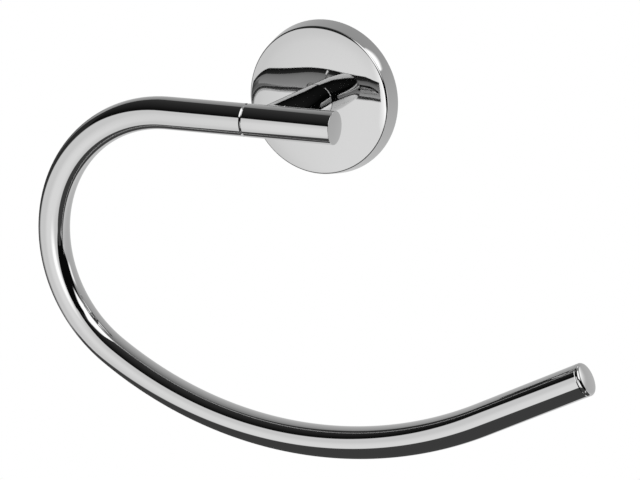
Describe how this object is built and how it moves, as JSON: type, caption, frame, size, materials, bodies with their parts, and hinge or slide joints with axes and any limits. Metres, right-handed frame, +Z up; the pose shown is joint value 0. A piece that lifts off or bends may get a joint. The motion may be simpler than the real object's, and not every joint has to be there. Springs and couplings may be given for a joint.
{
  "type": "towel ring",
  "caption": "Wall-mounted towel ring: an open loop of bent round tube, carried by a post with a cross sleeve on a round crowned rosette, all polished chrome.",
  "frame": {"origin": "centre of the rosette on the wall plane, midway between the two wall screw holes", "axes": "+X to the right along the sleeve, as seen from the room; +Y into the wall; +Z up"},
  "size_m": [0.2205, 0.0514, 0.1546],
  "materials": {
    "chrome_plate": "mirror polished",
    "zinc_plated_steel": "zinc plated",
    "stainless_steel": "plain machined",
    "turned_brass": "turned"
  },
  "bodies": {
    "root": {"rosette": "chrome_plate", "support_post": "chrome_plate", "ring_tube": "chrome_plate", "ring_end_cap": "chrome_plate", "wall_bracket": "zinc_plated_steel", "rosette_grub_screw": "stainless_steel", "post_screw": "stainless_steel", "post_washer": "stainless_steel", "ring_spigot": "turned_brass", "spigot_set_screw": "stainless_steel"}
  },
  "joints": []
}
